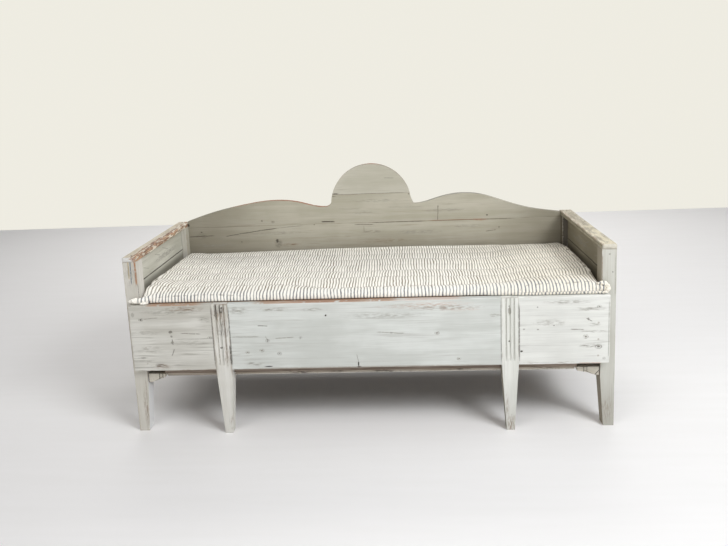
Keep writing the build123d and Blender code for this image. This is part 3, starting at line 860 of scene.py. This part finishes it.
def makeCap(side):
    node = "arm_cap_" + side
    low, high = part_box(node)
    wear = cap[side]
    inner, outer = (high.x, low.x) if side == "left" else (low.x, high.x)
    middleX, middleZ = (low.x + high.x) / 2, (low.z + high.z) / 2
    steps = round((high.y - low.y) / cap["step"])
    rings = []
    for index in range(steps + 1):
        y = low.y + (high.y - low.y) * index / steps
        fromEnd = min(y - low.y, high.y - y, cap["endRound"])
        tuck = cap["endRound"] - math.sqrt(cap["endRound"] ** 2 - (cap["endRound"] - fromEnd) ** 2)
        swell = 1 + cap["swell"] * noise.noise(Vector((wear["seed"], y * cap["swellWaves"], 0)))
        radii = [radius * mm * swell + tuck * 0.3 for radius in wear["radii"]]
        size = (high.x - low.x, high.z - low.z)
        section = roundedSection((0, 0), size, radii, cap["arcSteps"], cap["sideSteps"])
        ring = []
        for across, up in section:
            x = outer + math.copysign(across, inner - outer)
            z = low.z + up
            x += math.copysign(min(tuck, abs(middleX - x)), middleX - x)
            z += math.copysign(min(tuck, abs(middleZ - z)), middleZ - z)
            # the chewed arris: bites near the inner top edge, with splinters along the grain
            fromArris = abs(x - inner) + abs(high.z - z)
            bite = noiseAt((x, y, z), cap["biteWaves"], (0, wear["seed"] * 7, 0))
            splinter = noiseAt((x, y, z), cap["splinterWaves"], (0, 0, wear["seed"]))
            depth = max(0.0, bite + cap["biteMore"] + cap["splinter"] * splinter) * wear["chewed"]
            depth *= max(0.0, 1 - fromArris / wear["reach"]) ** cap["biteFade"]
            dent = cap["dent"] * abs(noiseAt((x, y, z), cap["dentWaves"], (0, 0, wear["seed"])))
            if up > cap["sound"]:
                x += math.copysign(depth * cap["biteAcross"], middleX - x)
                z -= depth + dent
            ring.append((x, y, z))
        rings.append(ring)
    name = node + "_worn"
    piece = newPiece(name, loft(name, rings), capPaint(side, low, high), "frame", node)


for side in ("left", "right"):
    makeCap(side)
print("arm caps made")


# thin hand-quilted mattress, its front corners pinched and tied; lengths in mm
quilt = {
    "voxel": 7,
    "station": 9,                   # from one section of the first shape to the next
    "arcSteps": 4,
    "sideSteps": 40,
    "clear": 0.5,                   # above the seat boards
    "side": 814,
    "slack": 5,                     # how far past that the ends may go
    "back": 282,
    "frontLeft": -290,
    "frontRight": -304,
    "frontTurn": (250, 650),        # where the front goes from the one to the other
    "frontWave": 2.5,
    "frontWaveLength": 160,
    "corner": 9,
    "radii": (6, 5, 9),             # long edges: front and back at the bottom, back at the top
    "rollRadius": 6,
    "height": 35,                   # of the top above the seat, and of the roll along the front
    "rollHeight": 23,
    "rollFront": 4,
    "rollWidth": 120,
    "rollNarrower": 70,             # at the left end
    "thinBack": (150, 280),         # what the right end gains is lost again towards the back
    "turnUp": 6,                    # of the left end, and how much more of it at the front
    "turnUpFront": 8,
    "turnUpEnd": (-814, -720),
    "turnUpBack": (-200, 100),
    "swell": 10,                    # of the ends, into the room between the corner posts
    "swellFrom": (-236, -130),
    "swellTo": (170, 250),
    "swellEnd": (740, 814),
    "firstSeam": -242,
    "seamPitch": 80,
    "seams": 7,
    "seamDepth": 3.2,
    "seamVaries": 0.35,
    "seamWidth": 9,
    "sewnAbove": 12,
    "pucker": 1.4,
    "puckerWidth": 22,
    "puckerLength": 16,
    # the sewn rows run askew: how far back they go, and between which x
    "askewLeft": (38, -340, -100),
    "askewRight": (32, 470, 580),
    "askewWave": (4, 110),
    "pressure": 4.0,
    "steps": 20,
    "most": 6,                      # how far the filling may push the cover
    "stitchHold": 0.85,             # how firmly a sewn row holds it, and how far from the row
    "stitchReach": (3, 12),
    "evening": 0.4,
}

# what a height or a radius gains towards the right: how much, and between which x
gains = {
    "roll": (15, 100, 740),
    "middle": (6, -700, -300),
    "dip": (-4, 150, 450),
    "right": (9, 500, 760),
    "end": (4, 750, 814),
    "radius": (7, 0, 650),
}

# the cloth gathered and tied at the front corners
tufts = {
    "leftCorner": {
        "path": [(-776, -281, 510), (-797, -289, 510.5), (-811, -297, 510.5), (-821, -300.5, 510),
                 (-829, -301, 510)],
        "radii": (12, 12, 11, 8.5, 4), "folds": 5, "depth": 0.07,
    },
    "leftLeaf": {
        "path": [(-822, -299, 508), (-830, -300, 510.5), (-839, -301, 511), (-849, -301, 509.5),
                 (-859, -301, 508)],
        "radii": (4, 10, 9.2, 5.2, 0.7), "folds": 3, "depth": 0.15,
    },
    "leftHem": {
        "path": [(-784, -294, 501), (-797, -300, 500), (-809, -302, 499.8), (-818, -301.5, 501)],
        "radii": (2.5, 3.6, 3.6, 1.4), "folds": 3, "depth": 0.12,
    },
    "rightLoop": {
        "path": [(798, -296, 507), (812, -301, 504), (826, -303, 505), (836, -303, 511),
                 (838, -303, 522), (831, -302.5, 532), (818, -301, 536), (803, -297, 531)],
        "radii": (9, 6, 6.2, 7.6, 8, 7, 6.5, 6), "folds": 3, "depth": 0.24,
    },
    "rightKnot": {
        "path": [(798, -294, 517), (812, -298, 518), (823, -300, 519), (831, -300, 519)],
        "radii": (12, 11, 8.5, 5), "folds": 4, "depth": 0.14,
    },
}


def gain(name, x):
    most, start, end = gains[name]
    return most * ease(x, start, end)


def seamShift(x):
    # how much further back than at the middle the sewn rows are
    left, *leftRange = quilt["askewLeft"]
    right, *rightRange = quilt["askewRight"]
    wave, length = quilt["askewWave"]
    ends = left * (1 - ease(x, *leftRange)) + right * ease(x, *rightRange)
    return ends + wave * math.sin(x / length + 1)


def quiltFront(x):
    wave = quilt["frontWave"] * noise.noise(Vector((x / quilt["frontWaveLength"], 2, 5)))
    left, right = quilt["frontLeft"], quilt["frontRight"]
    return left + (right - left) * ease(x, *quilt["frontTurn"]) + wave


def quiltHeight(x, y):
    # the top above the seat: thin at the front, thickest at the right end
    front = quilt["rollHeight"] + gain("roll", x)
    body = quilt["height"] + gain("middle", x) + gain("dip", x)
    body += gain("right", x) * (1 - ease(y, *quilt["thinBack"]))
    # both ends turn up a little against the end boards, the left one most at the front
    atLeft = 1 - ease(x, *quilt["turnUpEnd"])
    turnUp = quilt["turnUp"] + quilt["turnUpFront"] * (1 - ease(y, *quilt["turnUpBack"]))
    body += atLeft * turnUp + gain("end", x)
    rollBack = quiltFront(x) + quilt["rollWidth"] - quilt["rollNarrower"] * atLeft
    return front + (body - front) * ease(y, quiltFront(x) + quilt["rollFront"], rollBack)


def quiltEnd(x, y):
    swell = quilt["swell"] * ease(y, *quilt["swellFrom"]) * (1 - ease(y, *quilt["swellTo"]))
    return x + math.copysign(swell * ease(abs(x), *quilt["swellEnd"]), x)


def quiltRings(floor):
    rings = []
    corner = quilt["corner"]
    count = round(2 * quilt["side"] / quilt["station"])
    for index in range(count + 1):
        x = -quilt["side"] + 2 * quilt["side"] * index / count
        fromEnd = quilt["side"] - abs(x)
        tuck = corner - math.sqrt(corner ** 2 - max(0.0, corner - fromEnd) ** 2)
        full = quiltHeight(x, 0)
        radii = (*quilt["radii"], quilt["rollRadius"] + gain("radius", x))
        low = (quiltFront(x) + tuck, tuck * 0.4)
        high = (quilt["back"] - tuck, full - tuck * 0.6)
        section = roundedSection(low, high, radii, quilt["arcSteps"], quilt["sideSteps"])
        ring = []
        for y, up in section:
            point = Vector((quiltEnd(x, y), y, up * quiltHeight(x, y) / full))
            ring.append(point * mm + Vector((0, 0, floor)))
        rings.append(ring)
    return rings


def gather(path, radii, folds, depth):
    # a gathered tuft of cloth along a path, with folds round it
    spine = [Vector(point) * mm for point in path]
    rings = []
    steps = 9           # rings from one point of the path to the next
    turns = 28          # points round a ring
    flat = 0.72         # how thick the tuft is against its width
    last = len(spine) - 1
    for index in range(last * steps + 1):
        part = min(index // steps, last - 1)
        share = index / steps - part
        before, here, after, beyond = (spine[min(max(part + k, 0), last)] for k in (-1, 0, 1, 2))
        bend = (after - before) * (1 - share) - (beyond - here) * share
        place = here + (after - here) * share + bend * share * (1 - share) * 0.5
        slope = after - here + (after - before) * (1 - share) * 0.5
        slope = (slope + (beyond - here) * share * 0.5).normalized()
        radius = (radii[part] + (radii[part + 1] - radii[part]) * ease(share, 0, 1)) * mm
        side = slope.cross(Vector((0, 1, 0))).normalized()
        sway = 2.5 * math.sin(index * 0.35)         # the folds wind to and fro along the tuft
        ring = []
        for k in range(turns):
            turn = 2 * math.pi * k / turns
            fold = 1 + depth * math.sin(folds * turn + sway) + 0.1 * math.sin(2 * turn + index * 0.3)
            out = side * math.cos(turn) + Vector((0, flat, 0)) * math.sin(turn)
            ring.append(place + out * radius * fold)
        rings.append(ring)
    return loft("tuft", rings)


def nearestSeam(x, y):
    # which sewn row is nearest, and how far it is
    row = (y - quilt["firstSeam"] - seamShift(x)) / quilt["seamPitch"]
    nearest = min(max(round(row), 0), quilt["seams"] - 1)
    return nearest, abs(row - nearest) * quilt["seamPitch"]


def settle(piece):
    # the filling pushes the cover out between the sewn rows
    mesh = piece.data
    held = piece.vertex_groups.new(name="held")
    before = [vertex.co.copy() for vertex in mesh.vertices]
    for vertex in mesh.vertices:
        near = nearestSeam(vertex.co.x / mm, vertex.co.y / mm)[1]
        weight = 0
        if vertex.normal.z > 0.5:
            weight = quilt["stitchHold"] * (1 - ease(near, *quilt["stitchReach"]))
        elif vertex.normal.z < -0.4:
            weight = 1.0        # the underside lies on the seat
        if weight > 0.01:
            held.add([vertex.index], weight, "REPLACE")
    cloth = piece.modifiers.new("filling", "CLOTH")
    cloth.settings.vertex_group_mass = "held"
    cloth.settings.use_pressure = True
    cloth.settings.uniform_pressure_force = quilt["pressure"]
    cloth.settings.effector_weights.gravity = 0
    cloth.settings.quality = 4
    cloth.point_cache.frame_end = quilt["steps"]
    scene = bpy.context.scene
    for step in range(1, quilt["steps"] + 1):
        scene.frame_set(step)
    settled = piece.evaluated_get(bpy.context.evaluated_depsgraph_get())
    after = [vertex.co.copy() for vertex in settled.data.vertices]
    piece.modifiers.remove(cloth)
    piece.vertex_groups.clear()
    scene.frame_set(1)
    for vertex, old, new in zip(mesh.vertices, before, after):
        move = new - old
        vertex.co = old + move * min(1.0, quilt["most"] * mm / max(move.length, 1e-9))


def sewRows(mesh, floor):
    # sinks the sewn rows and puckers the cloth beside them
    for vertex in mesh.vertices:
        x, y, z = vertex.co / mm
        if vertex.co.z < floor + quilt["sewnAbove"] * mm:
            continue
        row, near = nearestSeam(x, y)
        deeper = 1 + quilt["seamVaries"] * noise.noise(Vector((x / 90, row * 3.1, 1)))
        sink = quilt["seamDepth"] * deeper * math.exp(-(near / quilt["seamWidth"]) ** 2)
        ripple = noise.noise(Vector((x / quilt["puckerLength"], row * 7.7 + y / 110, 4)))
        ripple *= quilt["pucker"] * math.exp(-(near / quilt["puckerWidth"]) ** 2)
        vertex.co.z += (ripple - sink) * mm


def makeMattress():
    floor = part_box("mattress")[0].z + quilt["clear"] * mm
    mesh = loft("mattress_cover", quiltRings(floor))
    piece = newPiece("mattress_cover", mesh, ticking("striped_ticking"), "mattress", "mattress")
    remesh = piece.modifiers.new("even", "REMESH")
    remesh.mode = "VOXEL"
    remesh.voxel_size = quilt["voxel"] * mm
    bpy.context.view_layer.update()
    even = piece.evaluated_get(bpy.context.evaluated_depsgraph_get())
    piece.data = bpy.data.meshes.new_from_object(even)
    piece.modifiers.remove(remesh)
    settle(piece)
    sewRows(piece.data, floor)
    skin = bmesh.new()
    skin.from_mesh(piece.data)
    bmesh.ops.smooth_vert(skin, verts=skin.verts, factor=quilt["evening"],
                          use_axis_x=True, use_axis_y=True, use_axis_z=True)
    for vertex in skin.verts:
        # on the seat boards, and clear of the posts
        end = quiltEnd(quilt["side"] + quilt["slack"], vertex.co.y / mm) * mm
        vertex.co.x = max(-end, min(end, vertex.co.x))
        vertex.co.z = max(vertex.co.z, floor)
    for tuft in tufts.values():
        skin.from_mesh(gather(**tuft))
    skin.to_mesh(piece.data)
    skin.free()
    for polygon in piece.data.polygons:
        polygon.use_smooth = True
    finer = piece.modifiers.new("finer", "SUBSURF")
    finer.levels = finer.render_levels = 1
    print("mattress made:", len(piece.data.vertices), "points")


def ticking(name):
    look = {
        "cream": tone(250, 247, 239), "thread": tone(120, 112, 98),
        "creamInShade": tone(238, 232, 218), "shadeFrom": (0.2, 0.7),                  # painted shade towards the right end
        "greyStripe": tone(128, 118, 100),
        "blueStripe": tone(118, 122, 128), "blueFrom": (-0.24, -0.29),          # towards the front
        "pitch": 12 * mm,               # of the stripes on the front roll
        "gathered": 1.13,               # how much closer they lie on the quilted top
        "zigzag": 0.7 * mm, "wander": 22 * mm, "wobble": 5 * mm, "pucker": 3 * mm, "jog": 7 * mm,
        "endTop": 0.535, "endFrom": (0.804, 0.812), "endFront": (-0.291, -0.287),
        "hem": 0.5085,                  # height of the hem along the front, at the right
        "hemFront": (-0.280, -0.288), "hemFrom": (0.50, 0.58),
        "stitches": 190, "hemStitches": 520, "sewnAbove": (0.512, 0.520),
        # the ears and the hem under the left one have no stripes
        "earRight": (0.822, 0.830), "earLeft": (-0.824, -0.829), "earFront": (-0.280, -0.286),
        "flapSide": (-0.790, -0.797), "flapFront": (-0.293, -0.2965), "flapTop": (0.506, 0.504),
    }
    material, shader, place = newMaterial(name)
    x, y, z = place.axes()
    drift = place.noise((5, 7, 5), 3, detail=3) - 0.5
    wobble = place.noise((34, 24, 34), 7, detail=2) - 0.5
    pucker = place.noise((110, 60, 110), 17, detail=2) - 0.5
    # the same rows as in seamShift
    left, leftEnd, leftStart = quilt["askewLeft"]
    right, rightStart, rightEnd = quilt["askewRight"]
    wave, length = quilt["askewWave"]
    askew = left * mm * x.rise(leftStart * mm, leftEnd * mm)
    askew = askew + right * mm * x.rise(rightStart * mm, rightEnd * mm)
    askew = askew + wave * mm * (x * (1 / (length * mm)) + 1).sine()
    row = (y - quilt["firstSeam"] * mm - askew) / (2 * quilt["seamPitch"] * mm)
    zigzag = abs(row.fraction() - 0.5) * 4 - 1
    # each sewn band was stitched down a little to one side of its neighbour
    bands = row * 2
    band = bands.floor()
    jog = band.chance() - 0.5
    # at the two ends the cloth goes down round the edge, so the stripes lie level there
    side = x.rise(-0.1, 0.1) * 2 - 1
    wrapped = side * (look["endTop"] - z) * abs(x).rise(*look["endFrom"]) * y.rise(*look["endFront"])
    across = x + wrapped + zigzag * (drift * 2 + 1) * look["zigzag"] + drift * look["wander"]
    across = across + wobble * look["wobble"] + pucker * look["pucker"] + jog * look["jog"]
    # a hem along the front at the right end, where the stripes jump
    front = y.rise(*look["hemFront"]) * x.rise(*look["hemFrom"])
    hem = front * z.rise(look["hem"] + 0.4 * mm, look["hem"] - 0.4 * mm)
    across = across + hem * (pucker * 8 + 4) * mm
    count = across * ((band.rise(-0.6, -0.4) * (look["gathered"] - 1) + 1) / look["pitch"])
    stripe = (count * (2 * math.pi)).sine().rise(-0.1, 0.95)
    number = (count + 0.25).floor()
    each = (number * 1.37 + band * 51.3).chance()
    threads = place.noise((420, 900, 500), 5, detail=2)
    weave = place.noise((1500, 380, 900), 9, detail=2)
    faded = place.noise((120, 46, 120), 13, detail=3)
    dark = y.rise(*look["blueFrom"]).blend(look["greyStripe"], look["blueStripe"])
    ears = x.rise(*look["earRight"]).most(x.rise(*look["earLeft"])) * y.rise(*look["earFront"])
    flap = x.rise(*look["flapSide"]) * y.rise(*look["flapFront"]) * z.rise(*look["flapTop"])
    plain = ears.most(flap)
    stripe = stripe * (1 - plain) * (0.3 + threads * 0.25 + faded * 0.95) * (each * 0.45 + 0.72)
    # painted shade: the cream darkens towards the right end
    cream = (x.rise(*look["shadeFrom"]) * 0.8).blend(look["cream"], look["creamInShade"])
    colour = stripe.least(1.0).blend(cream, dark)
    nearest = abs(bands - bands.math("ROUND", bands)) * quilt["seamPitch"] * mm
    stitch = (x * look["stitches"] + wobble * 8).sine().rise(-0.2, 0.3)
    sewn = nearest.rise(2.2 * mm, 0.6 * mm) * stitch * z.rise(*look["sewnAbove"])
    stitch = (x * look["hemStitches"]).sine().rise(-0.6, 0.1)
    sewn = sewn.most(abs(z - look["hem"]).rise(1.6 * mm, 0.4 * mm) * front * stitch)
    colour = (sewn * 0.5).blend(colour, look["thread"])
    height = threads * 0.5 + weave * 0.5 - sewn * 0.8
    connect(shader, colour, 0.86 + threads * 0.1, height, 0.5 * mm, 0.15)
    shader.inputs["Sheen Weight"].default_value = 0.12
    return material


makeMattress()


view = {
    "place": (0.1469, -2.4631, 1.2467),
    "turn": 0.06347,            # to the left, in radians
    "dip": 0.16351,             # downwards
    "tilt": 0.04478,            # lean of the picture
    "focal": 640.23,            # in pixels of the picture below
    "centre": (363.15, 189.66),
    "picture": (728, 546),
}

lamps = {
    # name: place, target, size, power, colour
    "window": ((2.6, -2.5, 3.3), (0.1, 0, 0.3), (1.8, 1.6), 128, (0.97, 0.985, 1.0)),
    "room": ((-2.2, -2.6, 3.2), (0, 0, 0.4), (2.4, 2.0), 20, (1.0, 0.97, 0.93)),
    "ceiling": ((0, -1.6, 3.3), (0, 0.2, 0), (3.0, 1.8), 26, (1.0, 0.99, 0.97)),
    "behind": ((0, 3.0, 3.2), (0, 3.2, 0), (6.0, 2.2), 105, (1.0, 0.985, 0.95)),
}

# pale up to a little above the horizon, dim overhead, so that the floor under the bench stays dark
sky = {
    "near": (0.86, 0.84, 0.76, 1), "above": (0.17, 0.17, 0.18, 1),
    "from": 0.13, "to": 0.28, "strength": 1.0,
}

ground = {
    "size": 8, "place": (0, -0.6, -0.5 * mm),
    "pale": tone(248, 247, 247), "dull": tone(243, 242, 241),
}


def addCamera():
    lens = bpy.data.cameras.new("camera")
    camera = bpy.data.objects.new("camera", lens)
    bpy.context.scene.collection.objects.link(camera)
    turn = Matrix.Rotation(view["turn"], 3, "Z")
    dip = Matrix.Rotation(-view["dip"], 3, "X")
    tilt = Matrix.Rotation(view["tilt"], 3, "Y")
    right, forward, up = (turn @ dip @ tilt).transposed()
    aim = Matrix((right, up, -forward)).transposed().to_4x4()
    camera.matrix_world = Matrix.Translation(view["place"]) @ aim
    width, height = view["picture"]
    lens.sensor_width = 36
    lens.lens = view["focal"] / width * lens.sensor_width
    lens.shift_x = (width / 2 - view["centre"][0]) / width
    lens.shift_y = (view["centre"][1] - height / 2) / width
    lens.clip_end = 50
    bpy.context.scene.camera = camera


def addLamp(name, place, target, size, power, colour):
    lamp = bpy.data.lights.new(name, "AREA")
    lamp.shape = "RECTANGLE"
    lamp.size, lamp.size_y = size
    lamp.energy = power
    lamp.color = colour
    light = bpy.data.objects.new(name, lamp)
    light.location = place
    light.rotation_euler = (Vector(target) - Vector(place)).to_track_quat("-Z", "Y").to_euler()
    bpy.context.scene.collection.objects.link(light)


def addStage():
    bpy.ops.mesh.primitive_plane_add(size=ground["size"], location=ground["place"])
    floor = bpy.context.object
    floor.name = "floor"
    material, shader, place = newMaterial("pale_floor")
    grain = place.noise((2.5, 30, 2.5), 1, detail=3)
    connect(shader, grain.blend(ground["dull"], ground["pale"]), 0.5 + grain * 0.05, grain, 0.1 * mm)
    floor.data.materials.append(material)
    for name, facts in lamps.items():
        addLamp(name, *facts)
    world = bpy.data.worlds.new("studio")
    world.use_nodes = True
    tree = world.node_tree
    toward = Wire(tree, tree.nodes.new("ShaderNodeTexCoord").outputs["Generated"])
    glow = toward.axes()[2].rise(sky["from"], sky["to"]).blend(sky["near"], sky["above"])
    background = tree.nodes["Background"]
    tree.links.new(glow.socket, background.inputs["Color"])
    background.inputs["Strength"].default_value = sky["strength"]
    bpy.context.scene.world = world
    bpy.context.scene.view_settings.view_transform = "Standard"


addCamera()
addStage()
